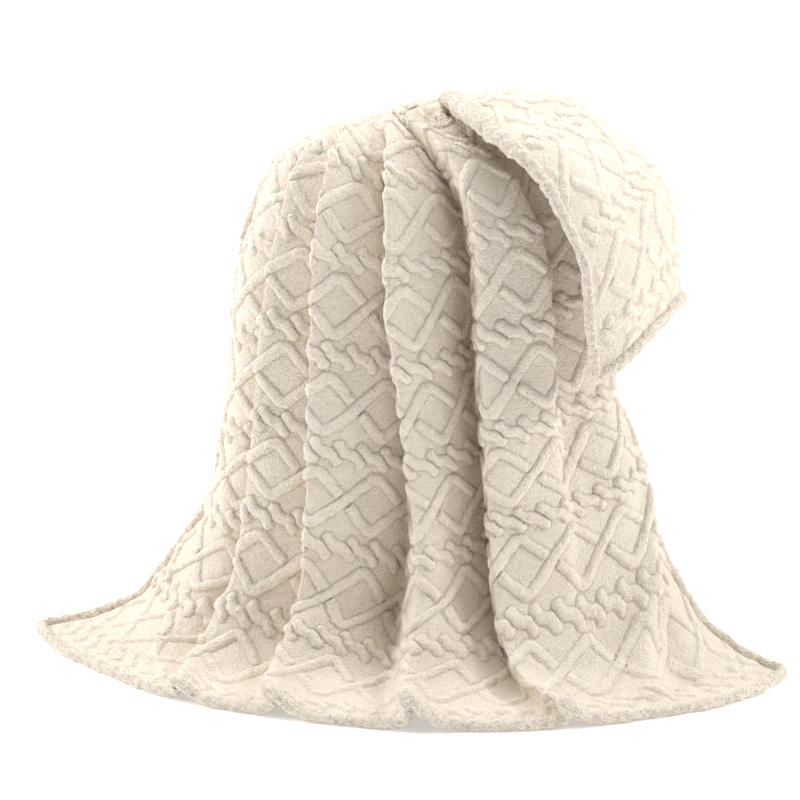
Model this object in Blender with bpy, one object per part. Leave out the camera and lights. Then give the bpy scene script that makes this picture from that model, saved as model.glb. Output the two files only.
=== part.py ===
"""A throw blanket with a carved-pile face, draped over an unseen rounded stand.

The sheet is 1.27 m wide (u, left edge to right edge) and 1.52 m long (v, front hem to rear hem).
Its front half falls in deep pleats and spreads on the floor. Its rear half hangs behind, swung round so
that its right corner comes over the right shoulder to the front. Metres, +Z up, the front faces -Y.
"""

import bpy
import numpy as np

# The flat sheet
WIDTH, LENGTH = 1.27, 1.52
FACE_THICKNESS, BACKING_THICKNESS = 0.0045, 0.0035
GAP = 0.0003
HEM_RADIUS, EDGE_HEIGHT = 0.0065, 0.0075
LABEL_SIZE, LABEL_THICKNESS = (0.035, 0.055), 0.0012
LABEL_AT = (0.050, 0.300)

# The stand that the throw takes its shape from
CENTRE_X = 0.020
HALF_WIDTH, HALF_DEPTH = 0.245, 0.155
SHOULDER_V = 0.62
FOOT_SLOPE, BODY_SLOPE, SPREAD_LENGTH = 6.0, 86.0, 0.19
SPREAD_X, SPREAD_Y = 1.10, 0.90
DOME_ROUNDNESS, GATHERED_BELOW = 0.92, 0.25
SWIRL_CENTRE, SWIRL_EASE = (0.058, 0.008), 0.60
CROWN, CROWN_HEIGHT, CROWN_RADIUS = (0.165, 0.035), 0.012, 0.085
STATIONS = (0.0, 0.1, 0.2, 0.3, 0.45, 0.62)

# Lines of the cloth from hem to hem. For each: its u, its angle round the stand at each station (degrees,
# -90 is the front), how far its foot spreads and how much it swells at knee height. Then its turn about
# the swirl: radius, first and last angle, first and last height. Then its rear shoulder: angle, reach, height and
# sideways bow on the way there, and last the angle and reach of its rear end.
LINES = (
    (0.000, (-181, -184, -187, -188, -188, -186), 1.06, 0.000,
     (0.208, 171, 166, 0.674, 0.674), (138, 0.024, 0.52, 0.00), (147, 0.050)),
    (0.160, (-152, -163, -173, -178, -178, -176), 0.88, 0.000,
     (0.187, 175, 169, 0.690, 0.690), (125, 0.022, 0.52, 0.00), (132, 0.045)),
    (0.305, (-130, -140, -145, -148, -150, -146), 0.94, 0.000,
     (0.156, 178, 171, 0.708, 0.708), (110, 0.025, 0.54, 0.00), (113, 0.050)),
    (0.460, (-114, -120, -120, -120, -122, -122), 0.96, 0.000,
     (0.122, 184, 173, 0.723, 0.723), (94, 0.030, 0.56, 0.00), (94, 0.055)),
    (0.650, (-93, -93, -90, -90, -92, -97), 0.98, 0.000,
     (0.085, 195, 166, 0.737, 0.737), (72, 0.035, 0.58, 0.00), (70, 0.060)),
    (0.860, (-70, -74, -76, -76, -77, -78), 1.00, 0.000,
     (0.068, 216, 144, 0.741, 0.747), (42, 0.055, 0.59, 0.00), (42, 0.080)),
    (0.975, (-60, -56, -52, -50, -50, -48), 1.00, 0.008,
     (0.057, 248, 112, 0.730, 0.753), (18, 0.088, 0.59, 0.00), (18, 0.115)),
    (1.120, (-38, -34, -28, -22, -14, -8), 0.98, 0.030,
     (0.046, 282, 78, 0.717, 0.757), (-8, 0.100, 0.57, 0.01), (-4, 0.130)),
    (1.270, (-18, -10, -2, 8, 20, 30), 1.00, 0.035,
     (0.034, 316, 44, 0.709, 0.758), (-49, 0.066, 0.50, 0.040), (-45, 0.082)),
)

# Pleats: the number of the line that each runs beside, and its depth at the stations
PLEAT_DEPTHS = {
    1: (0.000, 0.008, 0.022, 0.032, 0.034, 0.026),
    2: (0.004, 0.018, 0.032, 0.032, 0.022, 0.018),
    3: (0.008, 0.020, 0.030, 0.030, 0.028, 0.024),
    4: (0.008, 0.022, 0.045, 0.050, 0.036, 0.036),
    5: (0.010, 0.028, 0.045, 0.050, 0.052, 0.056),
    7: (0.000, 0.000, 0.006, 0.014, 0.032, 0.050),
}
REAR_FOLDS, REAR_FOLD_DEPTH = 5, 0.016

# How the hung throw settles: above knee height it sinks, and along x its foot slides back or forward
SINK_AT, SINK, SINK_FROM, SINK_TO = (-0.05, 0.12), (0.012, 0.021), 0.12, 0.42
SLIDE_AT = (-0.50, -0.30, -0.15, 0.00, 0.15, 0.30, 0.45)
SLIDE = (0.045, 0.045, 0.040, 0.020, 0.012, 0.000, -0.030)
SLIDE_HEIGHT = 0.13

PLEAT_END_V, PLEAT_FADE = 0.66, 0.18
SOFTNESS = 0.013

CREAM, SHERPA = (0.84, 0.78, 0.68, 1), (0.80, 0.73, 0.62, 1)
HEM_CREAM, TAPE = (0.82, 0.75, 0.64, 1), (0.90, 0.88, 0.84, 1)


def smooth(values, axis, sigma):
    """Gaussian smoothing along one axis, in samples, that leaves the two ends in place."""
    reach = int(np.ceil(3 * sigma))
    kernel = np.exp(-0.5 * (np.arange(-reach, reach + 1) / sigma) ** 2)
    rows = np.moveaxis(values, axis, 0)
    count = len(rows)
    before = 2 * rows[:1] - rows[np.minimum(np.arange(reach, 0, -1), count - 1)]
    after = 2 * rows[-1:] - rows[np.maximum(count - 1 - np.arange(1, reach + 1), 0)]
    padded = np.concatenate([before, rows, after])
    total = sum(w * padded[i : i + count] for i, w in enumerate(kernel / kernel.sum()))
    return np.moveaxis(total, 0, axis)


def unit(vectors):
    return vectors / np.linalg.norm(vectors, axis=-1, keepdims=True)


def running_sum(values, step):
    return np.concatenate([[0], np.cumsum((values[1:] + values[:-1]) * step / 2)])


def front_profile(v):
    """Height, and reach beyond the stand, of the front fall at cloth distances v from the hem."""
    slope = np.radians(FOOT_SLOPE + (BODY_SLOPE - FOOT_SLOPE) * (1 - np.exp(-((v / SPREAD_LENGTH) ** 1.6))))
    height = running_sum(np.sin(slope), v[1] - v[0])
    reach = running_sum(np.cos(slope), v[1] - v[0])
    return height, reach[-1] - reach


def oval(angle, reach_x, reach_y, power):
    cosine, sine = np.cos(angle), np.sin(angle)
    x = CENTRE_X + (HALF_WIDTH + reach_x) * np.sign(cosine) * np.abs(cosine) ** power
    y = (HALF_DEPTH + reach_y) * np.sign(sine) * np.abs(sine) ** power
    return x, y


def quarter_arc(low, high, bow=0.0, samples=41):
    """From a shoulder, where it is upright, to the ridge, where it is level, and bowed sideways."""
    turn = np.linspace(0, np.pi / 2, samples)[:, None]
    across = 1 - np.cos(turn) ** DOME_ROUNDNESS
    rise = np.sin(turn) ** DOME_ROUNDNESS
    heading = high[:2] - low[:2]
    sideways = unit(np.array([heading[1], -heading[0]]))
    plan = low[:2] + heading * across - 4 * bow * across * (1 - across) * sideways
    return np.hstack([plan, low[2] + (high[2] - low[2]) * rise])


def turn_about_swirl(radius, start, end, before, after, samples=31):
    """Clockwise past the left of the swirl's centre, from one angle and height to the other."""
    t = np.linspace(0, 1, samples)
    angle = np.radians(start + (end - start) * t)
    x = SWIRL_CENTRE[0] + radius * np.cos(angle)
    y = SWIRL_CENTRE[1] + radius * np.sin(angle)
    return np.stack([x, y, before + (after - before) * t**2 * (3 - 2 * t)], -1)


def crown(points):
    """The rear half is highest over the cloth bunched below its right shoulder."""
    away = np.hypot(*(points[:, :2] - CROWN).T) / CROWN_RADIUS
    return points + [0, 0, CROWN_HEIGHT] * np.exp(-(away**2))[:, None]


def line_path(v_samples, front_angles, foot, swell, swirl, shoulder, end):
    """One line of the cloth, hem to hem, at the given distances along it."""
    v = np.linspace(0, SHOULDER_V, 125)
    height, reach = front_profile(v)
    reach = reach * (1 + (foot - 1) * np.exp(-((v / 0.2) ** 2))) + swell * np.exp(-(((v - 0.33) / 0.16) ** 2))
    angle = smooth(np.interp(v, STATIONS, front_angles), 0, 8)
    x, y = oval(angle, SPREAD_X * reach, SPREAD_Y * reach, 1 - 0.17 * np.clip(v / 0.4, 0, 1))
    front = np.stack([x, y, height], -1)

    shoulder_x, shoulder_y = oval(np.radians(shoulder[0]), shoulder[1], shoulder[1], 0.83)
    rear_shoulder = np.array([shoulder_x, shoulder_y, shoulder[2]])
    drop = np.linspace(0, 0.75, 60)
    rear_angle = np.radians(shoulder[0] + (end[0] - shoulder[0]) * np.clip(drop / 0.3, 0, 2))
    rear_reach = shoulder[1] + (end[1] - shoulder[1]) * (drop / 0.2) ** 1.2
    x, y = oval(rear_angle, rear_reach, rear_reach, 0.83)
    hang = np.stack([x, y, shoulder[2] - drop], -1)

    turn = turn_about_swirl(*swirl)
    up = quarter_arc(front[-1], turn[0])
    down = crown(quarter_arc(rear_shoulder, turn[-1], shoulder[3])[::-1])
    path = np.concatenate([front, up[1:], turn[1:-1], down, hang[1:]])
    steps = np.linalg.norm(np.diff(path, axis=0), axis=1)
    steps[: len(v) - 1] = v[1]
    steps[len(front) + len(up) - 2 : -len(down) - len(hang) + 2] *= SWIRL_EASE
    length = np.concatenate([[0], np.cumsum(steps)])
    return np.stack([np.interp(v_samples, length, path[:, c]) for c in range(3)], -1)


def unpleated_sheet(u, v):
    """The sheet's surface before its pleats, as an array of points, rows along v and columns along u."""
    line_u = [line[0] for line in LINES]

    def across(part, index=None):
        values = [line[part] if index is None else line[part][index] for line in LINES]
        return smooth(np.interp(u, line_u, values), 0, 0.03 / (u[1] - u[0]))

    def across_all(part):
        return np.stack([across(part, i) for i in range(len(LINES[0][part]))], -1)

    angles = np.radians(across_all(1))
    foot, swell = across(2), across(3)
    swirl, shoulder, end = (across_all(part) for part in (4, 5, 6))
    columns = [
        line_path(v, angles[i], foot[i], swell[i], swirl[i], shoulder[i], end[i]) for i in range(len(u))
    ]
    return smooth(np.stack(columns, 1), 0, 0.02 / (v[1] - v[0]))


def unit_normals(points):
    return unit(np.cross(np.gradient(points, axis=1), np.gradient(points, axis=0)))


def pleat_depth(u, v):
    """How far the cloth sinks inwards: a long slope down to each valley and a short steep way back."""
    line_u = [line[0] for line in LINES]
    depth = np.zeros((len(v), len(u)))
    for row, distance in enumerate(v):
        fade = np.clip((PLEAT_END_V + PLEAT_FADE - distance) / PLEAT_FADE, 0, 1)
        corners, sink = [0.0], [0.0]
        for k in range(1, len(LINES)):
            start, width = line_u[k - 1], line_u[k] - line_u[k - 1]
            if k in PLEAT_DEPTHS:
                share = 0.38 if k == 7 else 0.74
                corners.append(start + share * width)
                sink.append(-fade * np.interp(distance, STATIONS, PLEAT_DEPTHS[k]))
            corners.append(line_u[k])
            sink.append(0.0)
        depth[row] = np.interp(u, corners, sink)
    rear = np.clip((v - 1.0) / 0.45, 0, 1)[:, None] ** 1.5
    waves = np.cos(2 * np.pi * REAR_FOLDS * u / WIDTH)[None, :]
    return smooth(depth, 1, SOFTNESS / (u[1] - u[0])) + REAR_FOLD_DEPTH * rear * waves


def settled(points):
    """The hung points, let down a little above knee height and with their foot slid along y."""
    x, y, z = np.moveaxis(points, -1, 0)
    t = np.clip((z - SINK_FROM) / (SINK_TO - SINK_FROM), 0, 1)
    slide = np.interp(x, SLIDE_AT, SLIDE) * np.exp(-((z / SLIDE_HEIGHT) ** 2))
    sink = np.interp(x, SINK_AT, SINK) * t * t * (3 - 2 * t)
    return np.stack([x, y + slide, z - sink], -1)


def squeeze(u, points):
    """The share of its thickness that the cloth keeps: less where its columns are gathered close."""
    spacing = np.linalg.norm(np.gradient(points, axis=1), axis=-1) / (u[1] - u[0])
    return smooth(smooth(np.clip(spacing / GATHERED_BELOW, 0.5, 1), 0, 4), 1, 6)[..., None]


def drape():
    """(u, v, points, outward normals, squeeze) of the middle of the cloth, on a fine grid."""
    u, v = np.linspace(0, WIDTH, 255), np.linspace(0, LENGTH, 305)
    base = unpleated_sheet(u, v)
    outward = unit_normals(smooth(smooth(base, 0, 5), 1, 5))
    points = settled(base + pleat_depth(u, v)[..., None] * outward)
    points[..., 2] = np.maximum(points[..., 2], 0.003 * np.clip(v / 0.03, 0, 1)[:, None]) + EDGE_HEIGHT
    return u, v, points, unit_normals(smooth(smooth(points, 0, 4), 1, 6)), squeeze(u, points)


def resample(values, u, v, u_wanted, v_wanted):
    """The fine grid's values at the wanted columns and rows."""
    rows = np.apply_along_axis(lambda line: np.interp(v_wanted, v, line), 0, values)
    return np.apply_along_axis(lambda line: np.interp(u_wanted, u, line), 1, rows)


def cad_columns():
    """Four steps between neighbouring lines, so that every crest and valley has a column."""
    line_u = [line[0] for line in LINES]
    steps = [np.linspace(a, b, 4, endpoint=False) for a, b in zip(line_u, line_u[1:])]
    return np.concatenate([*steps, [WIDTH]])


def cad_rows():
    """Closest together round the ridge, where the cloth turns most."""
    stretches = ((0, 0.30, 6), (0.30, 0.62, 4), (0.62, 0.78, 3), (0.78, 1.06, 18), (1.06, LENGTH, 6))
    steps = [np.linspace(a, b, n, endpoint=False) for a, b, n in stretches]
    return np.concatenate([*steps, [LENGTH]])


def material(name, colour, roughness):
    made = bpy.data.materials.new(name)
    made.use_nodes = True
    shader = made.node_tree.nodes["Principled BSDF"]
    shader.inputs["Base Color"].default_value = colour
    shader.inputs["Roughness"].default_value = roughness
    shader.inputs["Metallic"].default_value = 0.0
    return made


def facing_out(vertices, faces):
    """The faces, all turned round if they enclose a negative volume."""
    volume = 0.0
    for face in faces:
        first = vertices[face[0]]
        for a, b in zip(face[1:], face[2:]):
            volume += np.dot(first, np.cross(vertices[a], vertices[b]))
    return faces if volume > 0 else [face[::-1] for face in faces]


def add_object(name, vertices, faces, colour, roughness=0.95):
    mesh = bpy.data.meshes.new(name)
    faces = facing_out(vertices, faces)
    mesh.from_pydata([tuple(map(float, point)) for point in vertices], [], faces)
    mesh.validate()
    mesh.shade_smooth()
    mesh.materials.append(material(name, colour, roughness))
    bpy.context.scene.collection.objects.link(bpy.data.objects.new(name, mesh))


def layer(name, points, normals, inner, outer, colour):
    """A closed shell of cloth between two distances, inner and outer, from the sheet's middle."""
    rows, columns = points.shape[:2]
    inside = (points + inner * normals).reshape(-1, 3)
    outside = (points + outer * normals).reshape(-1, 3)
    grid = np.arange(rows * columns).reshape(rows, columns)
    other = rows * columns
    faces = []
    for r in range(rows - 1):
        for c in range(columns - 1):
            a, b, d, e = (int(grid[i]) for i in ((r, c), (r, c + 1), (r + 1, c + 1), (r + 1, c)))
            # Split along the shorter diagonal, or the sheared cells of the swirl fold over.
            if np.linalg.norm(outside[a] - outside[d]) > np.linalg.norm(outside[b] - outside[e]):
                a, b, d, e = b, d, e, a
            faces += [(a + other, b + other, d + other), (a + other, d + other, e + other)]
            faces += [(a, d, b), (a, e, d)]
    rim = [*grid[0, :], *grid[1:, -1], *grid[-1, -2::-1], *grid[-2:0:-1, 0]]
    for a, b in zip(map(int, rim), map(int, rim[1:] + rim[:1])):
        faces += [(a, b, b + other), (a, b + other, a + other)]
    add_object(name, np.concatenate([inside, outside]), faces, colour)


def tube(name, centres, across, up, radius, colour, sides=8):
    """A closed tube along the centres, with one flat side turned downwards."""
    angles = 2 * np.pi * (np.arange(sides) + 0.5) / sides
    ring = np.cos(angles)[None, :, None] * across[:, None, :] + np.sin(angles)[None, :, None] * up[:, None, :]
    vertices = (centres[:, None, :] + radius / np.cos(np.pi / sides) * ring).reshape(-1, 3)
    faces = []
    for i in range(len(centres) - 1):
        for k in range(sides):
            a, b = i * sides + k, i * sides + (k + 1) % sides
            faces += [(a, b, b + sides), (a, b + sides, a + sides)]
    last = (len(centres) - 1) * sides
    faces.append(tuple(range(sides))[::-1])
    faces.append(tuple(range(last, last + sides)))
    add_object(name, vertices, faces, colour)


def hem(name, edge, inside, normals, colour):
    """A rolled edge just outside the cut edge of the two layers."""
    outward = unit(np.cross(np.gradient(edge, axis=0), normals))
    outward *= np.sign((outward * (edge - inside)).sum())
    up = unit(np.cross(outward, np.gradient(edge, axis=0)))
    up *= np.sign((up * normals).sum())
    centres = edge + (HEM_RADIUS / np.cos(np.pi / 8) + 2 * GAP) * outward
    if name == "front_hem":
        outward[:, 2] = 0
        outward = unit(outward)
        centres[:, 2] = HEM_RADIUS
        up = np.tile([0.0, 0.0, 1.0], (len(edge), 1))
    tube(name, centres, outward, up, HEM_RADIUS, colour)


def care_label(u, v, points, normals):
    """A blank tape label that lies on the reverse, near the left edge."""
    us = LABEL_AT[0] + np.array([0, LABEL_SIZE[0]])
    vs = LABEL_AT[1] + np.array([0, LABEL_SIZE[1]])
    corners = resample(points, u, v, us, vs)
    inwards = resample(normals, u, v, us, vs)
    outer = -BACKING_THICKNESS - 8 * GAP
    layer("care_label", corners, inwards, outer - LABEL_THICKNESS, outer, TAPE)


def centre_on_origin():
    """Moves every piece, so that the origin is below the middle of the whole throw's box."""
    pieces = list(bpy.context.scene.collection.objects)
    corners = np.array([corner[:] for piece in pieces for corner in piece.bound_box])
    middle = (corners.min(axis=0) + corners.max(axis=0)) / 2
    for piece in pieces:
        piece.location = (-middle[0], -middle[1], 0)


def main():
    for item in list(bpy.data.objects):
        bpy.data.objects.remove(item)
    u, v, fine_points, fine_normals, fine_squeeze = drape()
    columns, rows = cad_columns(), cad_rows()
    points = resample(fine_points, u, v, columns, rows)
    normals = unit(resample(fine_normals, u, v, columns, rows))

    kept = resample(fine_squeeze, u, v, columns, rows)
    layer("face_cloth", points, normals, GAP / 2, FACE_THICKNESS * kept, CREAM)
    layer("backing_cloth", points, normals, -BACKING_THICKNESS * kept, -GAP / 2, SHERPA)
    hem("front_hem", points[0], points[1], normals[0], HEM_CREAM)
    hem("rear_hem", points[-1], points[-2], normals[-1], HEM_CREAM)
    hem("left_hem", points[:, 0], points[:, 1], normals[:, 0], HEM_CREAM)
    hem("right_hem", points[:, -1], points[:, -2], normals[:, -1], HEM_CREAM)
    care_label(u, v, fine_points, fine_normals)
    centre_on_origin()


main()
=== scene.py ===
"""A carved-plush throw blanket draped over an unseen stand: its finished look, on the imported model's frame.

The drape is the one of the CAD model, built again here with its full pleats, carved pattern and nubby hems.
The sheet is measured along u, from its left edge to its right edge, and v, from its front hem to its rear
hem. Metres, +Z up, the front faces -Y.
"""

import bpy
import numpy as np
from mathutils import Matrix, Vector


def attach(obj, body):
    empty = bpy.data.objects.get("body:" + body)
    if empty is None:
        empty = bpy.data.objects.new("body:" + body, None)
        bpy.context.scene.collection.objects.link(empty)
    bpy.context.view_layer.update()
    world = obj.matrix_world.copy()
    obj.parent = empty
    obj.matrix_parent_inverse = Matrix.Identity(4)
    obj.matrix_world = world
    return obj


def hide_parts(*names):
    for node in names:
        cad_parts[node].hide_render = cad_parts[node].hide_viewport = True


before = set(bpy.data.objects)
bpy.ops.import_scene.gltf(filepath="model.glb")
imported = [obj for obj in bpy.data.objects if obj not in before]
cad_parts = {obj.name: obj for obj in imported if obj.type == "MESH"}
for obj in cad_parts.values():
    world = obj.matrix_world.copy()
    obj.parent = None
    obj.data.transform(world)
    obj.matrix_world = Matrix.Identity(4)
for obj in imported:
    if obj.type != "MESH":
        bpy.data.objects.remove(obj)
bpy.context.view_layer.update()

# ---------------------------------------------------------------- the CAD model's sheet and stand
WIDTH, LENGTH = 1.27, 1.52
EDGE_HEIGHT = 0.0075
CENTRE_X = 0.020
HALF_WIDTH, HALF_DEPTH = 0.245, 0.155
SHOULDER_V = 0.62
FOOT_SLOPE, BODY_SLOPE, SPREAD_LENGTH, SPREAD_POWER = 6.0, 86.0, 0.19, 1.6
SPREAD_X, SPREAD_Y = 1.10, 0.90
FOOT_FADE = 0.2
SWELL_V, SWELL_LENGTH = 0.33, 0.16
SQUARING, SQUARE_FROM_V = 0.17, 0.4
REAR_OVAL = 0.83
REAR_DROP, REAR_TURN_DROP, REAR_REACH_DROP, REAR_REACH_POWER = 0.75, 0.3, 0.2, 1.2
DOME_ROUNDNESS, GATHERED_BELOW = 0.92, 0.25
SWIRL_CENTRE, SWIRL_EASE = (0.058, 0.008), 0.60
DRAWN_IN_TO, DRAWN_IN_RADII = 0.38, (0.034, 0.066)  # the tightest turns keep that share of their radius
CROWN, CROWN_HEIGHT, CROWN_RADIUS = (0.165, 0.035), 0.012, 0.085
STATIONS = (0.0, 0.1, 0.2, 0.3, 0.45, 0.62)
MODEL_SHIFT = (0.000517, 0.054011, 0.0)

# For each line from hem to hem: u, its angle at each station, how far its foot reaches, its swell, its turn
# about the swirl (radius, angles, heights), its rear shoulder (angle, reach, height, bow) and its rear end
# (angle, reach)
LINES = (
    (0.000, (-181, -184, -187, -188, -188, -186), 1.06, 0.000,
     (0.208, 171, 166, 0.674, 0.674), (138, 0.024, 0.52, 0.00), (147, 0.050)),
    (0.160, (-152, -163, -173, -178, -178, -176), 0.88, 0.000,
     (0.187, 175, 169, 0.690, 0.690), (125, 0.022, 0.52, 0.00), (132, 0.045)),
    (0.305, (-130, -140, -145, -148, -150, -146), 0.94, 0.000,
     (0.156, 178, 171, 0.708, 0.708), (110, 0.025, 0.54, 0.00), (113, 0.050)),
    (0.460, (-114, -120, -120, -120, -122, -122), 0.96, 0.000,
     (0.122, 184, 173, 0.723, 0.723), (94, 0.030, 0.56, 0.00), (94, 0.055)),
    (0.650, (-93, -93, -90, -90, -92, -97), 0.98, 0.000,
     (0.085, 195, 166, 0.737, 0.737), (72, 0.035, 0.58, 0.00), (70, 0.060)),
    (0.860, (-70, -74, -76, -76, -77, -78), 1.00, 0.000,
     (0.068, 216, 144, 0.741, 0.747), (42, 0.055, 0.59, 0.00), (42, 0.080)),
    (0.975, (-60, -56, -52, -50, -50, -48), 1.00, 0.008,
     (0.057, 248, 112, 0.730, 0.753), (18, 0.088, 0.59, 0.00), (18, 0.115)),
    (1.120, (-38, -34, -28, -22, -14, -8), 0.98, 0.030,
     (0.046, 282, 78, 0.717, 0.757), (-8, 0.100, 0.57, 0.01), (-4, 0.130)),
    (1.270, (-18, -10, -2, 8, 20, 30), 1.00, 0.035,
     (0.034, 316, 44, 0.709, 0.758), (-49, 0.066, 0.50, 0.040), (-45, 0.082)),
)
SINK_AT, SINK, SINK_FROM, SINK_TO = (-0.05, 0.12), (0.012, 0.021), 0.12, 0.42
SLIDE_AT = (-0.50, -0.30, -0.15, 0.00, 0.15, 0.30, 0.45)
SLIDE = (0.045, 0.045, 0.040, 0.020, 0.012, 0.000, -0.030)
SLIDE_HEIGHT = 0.13
STAND_U_COUNT, STAND_V_COUNT = 255, 305

# ---------------------------------------------------------------- what the finished look adds to that drape
REAR_FOLDS, REAR_FOLD_DEPTH = 5, 0.038
REAR_FOLD_V, FLAP_CALM, FLAP_CALM_U = (0.90, 1.35), 0.72, (0.86, 1.02)
# The front cloth reaches up to the flap where it comes over
UNDER_FLAP_LIFT = np.array([0.0, -0.010, 0.026])
UNDER_FLAP_U, UNDER_FLAP_FROM_V, UNDER_FLAP_TO_V = (1.00, 1.18), (0.72, 0.87), (1.00, 0.93)
# A ridge runs up the front's right side, with a hollow beside it
RIDGE_V, RIDGE_U = (0.0, 0.10, 0.20, 0.35, 0.50), (1.02, 1.06, 1.13, 1.19, 1.20)
RIDGE_HEIGHT, RIDGE_WIDTH, RIDGE_FROM_V, RIDGE_TO_V = 0.014, 0.026, (0.0, 0.05), (0.52, 0.30)
DITCH_SHARE, DITCH_OFFSET, DITCH_WIDTH = 0.8, 0.052, 0.030
WAVES, WAVES_FROM_V = ((0.0030, 0.075), (0.0020, 0.036)), (0.0, 0.06)  # heights and scales of slight waves
# Along x: the left shoulder slopes in, and so does the right side lower down
SHOULDER_IN, SHOULDER_Z, SHOULDER_REACH, SHOULDER_X = 0.014, 0.60, 0.07, (-0.10, -0.20)
RIGHT_SHARE, RIGHT_Z, RIGHT_REACH, RIGHT_X, RIGHT_V = 0.5, 0.27, 0.13, (0.15, 0.28), (0.70, 0.60)
# The crown stays high on both sides
CROWN_UP, CROWN_SIDES, CROWN_REACH, CROWN_Z = 0.012, (-0.115, 0.20), 0.07, (0.60, 0.70)
# Along x, by the left edge: the rear hangs further in, and the foot flares out
LEFT_EDGE_U = (0.24, 0.02)
TUCK, TUCK_V = 0.030, (1.02, 1.30)
FLARE, FLARE_Z, FLARE_REACH, FLARE_V = 0.020, 0.105, 0.055, (0.60, 0.40)
FLOOR_GAP, FLOOR_GAP_BY = 0.003, 0.03
# Painted shade: a fold's floor is painted darker from the first depth on and darkest at the second, where shade
# falls deep in the fold
FOLD_SHADE_DEPTHS, FOLD_SHADE_TO_V = (0.032, 0.068), (0.98, 0.85)

# ---------------------------------------------------------------- pleats
# By the number of the crest line that overhangs the valley: depths and leans at the stations. A positive
# lean carries the valley's floor in under its crest.
PLEATS = {
    2: ((0.010, 0.052, 0.072, 0.068, 0.054, 0.040), (0.010, 0.002, 0.000, 0.012, 0.014, 0.008)),
    3: ((0.014, 0.038, 0.050, 0.052, 0.050, 0.042), (0.020, 0.006, 0.012, 0.018, 0.016, 0.008)),
    4: ((0.014, 0.044, 0.072, 0.066, 0.056, 0.052), (0.016, -0.012, -0.020, 0.002, 0.008, 0.000)),
    5: ((0.016, 0.042, 0.062, 0.066, 0.070, 0.074), (0.024, 0.014, 0.010, 0.008, 0.004, 0.004)),
}
# How a panel sinks on its way to the valley: (share of the way, share of the depth)
EVEN = ((0.15, 0.13), (0.50, 0.45), (0.80, 0.75), (1.0, 1.0))
BULGING = ((0.45, 0.08), (0.70, 0.30), (0.88, 0.66), (1.0, 1.0))
# The cloth sinks in just before this line: depths at the stations, then where on the cloth and on the stand
RECESS_LINE, RECESS = 7, (0.000, 0.000, 0.006, 0.012, 0.030, 0.060)
RECESS_CLOTH, RECESS_PLACE, RECESS_FAR_SHARE = (0.05, 0.09), (0.022, 0.065), 0.9
HEM_ARCHES = {2: 0.030, 3: 0.048, 4: 0.064, 5: 0.046}  # how high each crest lifts the front hem
ARCH_REACH_V, ARCH_CLOTH, ARCH_PLACE, ARCH_END_SHARE = 0.095, 0.045, 0.040, 0.12
PLEAT_END_V, PLEAT_FADE = 0.78, 0.20
PANEL_SHARES, UNFOLDED_VALLEY, VALLEY_GAP, NARROWEST = (0.55, 0.90), 0.12, 0.004, 0.03
CREASE_SOFTNESS, HEM_SOFTNESS, SOFTNESS_ALONG, SOFT_HEM_V = 0.0085, 0.0150, 0.012, 0.10

# ---------------------------------------------------------------- the carved pattern
ROW_START, ROW_PITCH = 0.036, 0.131
BRAID_PITCH, BRAID_SLANT = 0.0332, np.radians(34)
STRAND_HALF_LENGTH, STRAND_RADIUS, STRAND_BEND = 0.0185, 0.0094, 0.0034
PARTING_WIDTH, PARTING_CREASE = 0.0056, 0.0021
DIAMOND_PERIOD, DIAMOND_HALF_HEIGHT, BAR_WIDTH = 0.166, 0.0365, 0.0172
DIAMOND_SHARPNESS = 0.965  # 1 would give the zigzags sharp corners
SECTION_POWER, SECTION_ROUNDING = 2.5, 0.90
BAR_GAP = (1.00, 1.35)  # in half widths of the bar above: from where to where the lower bar breaks off
CREASE_WIDTH, CREASE_DEPTH = 0.0017, 0.0009
# How the weave hangs on the panel right of the left edge and of each crest: pattern u at the crest where
# v is PATTERN_V, its drift along v, how far the rows are shifted in v, and how steeply they climb
PATTERN_V, WEAVE_FROM_V, WEAVE_TO_V, REAR_WEAVE_V = 0.6, (0.04, 0.30), (1.00, 0.82), (0.88, 1.00)
PANEL_WEAVE = (
    (0.000, 0.00, 0.000, 0.00),
    (0.000, 0.00, -0.035, -0.17),
    (0.008, -0.08, 0.000, -0.15),
    (0.012, 0.165, 0.020, 0.15),
    (0.0525, 0.165, -0.030, 0.14),
)
RELIEF_HEIGHT = 0.0043
# How far the pattern's lines stray, in long bends and at their furry edges, and the scales of both
BEND, BEND_SCALE_U, BEND_SCALE_V, FRAY, FRAY_SCALE = 0.0020, 0.045, 0.050, 0.0011, 0.0075
WOBBLE, WOBBLE_SCALE = 0.10, 0.02
NUB_GROUND, NUB_EXTRA, NUB_SCALES = 0.0006, 0.0006, (0.0062, 0.0048)
# The relief dies out at the cloth's edge, and it is flatter at the foot, over the top and on the flap
EDGE_FADE = (0.002, 0.012)
FOOT_RELIEF, FOOT_RELIEF_V = 0.60, (0.06, 0.20)
TOP_LOSS, TOP_FROM_V, TOP_TO_V = 0.22, (0.60, 0.72), (1.05, 0.95)
FLAP_LOSS, FLAP_FROM_V, FLAP_FROM_U = 0.25, (0.98, 1.08), (0.80, 0.95)

FACE_OFFSET, BACKING_OFFSET, SHERPA_CURL = -0.0004, -0.0044, -0.0012
LOWEST_CLOTH, LOWEST_HEM = 0.0006, 0.0005
HEM_RADIUS, HEM_SIDES, HEM_STEP, HEM_OUT = 0.0080, 22, 0.0016, 0.55
HEM_WANDER, HEM_WANDER_SCALE = 0.0012, 0.03
HEM_SWELL, HEM_SWELL_SCALE = 0.10, 0.024
HEM_CURL, FINE_CURL_SCALE, WIDE_CURL_SCALE, CURL_SLANT = 0.30, 0.0048, 0.0085, 0.6
COLUMNS, ROWS = 545, 652
SEED = 7


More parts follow.
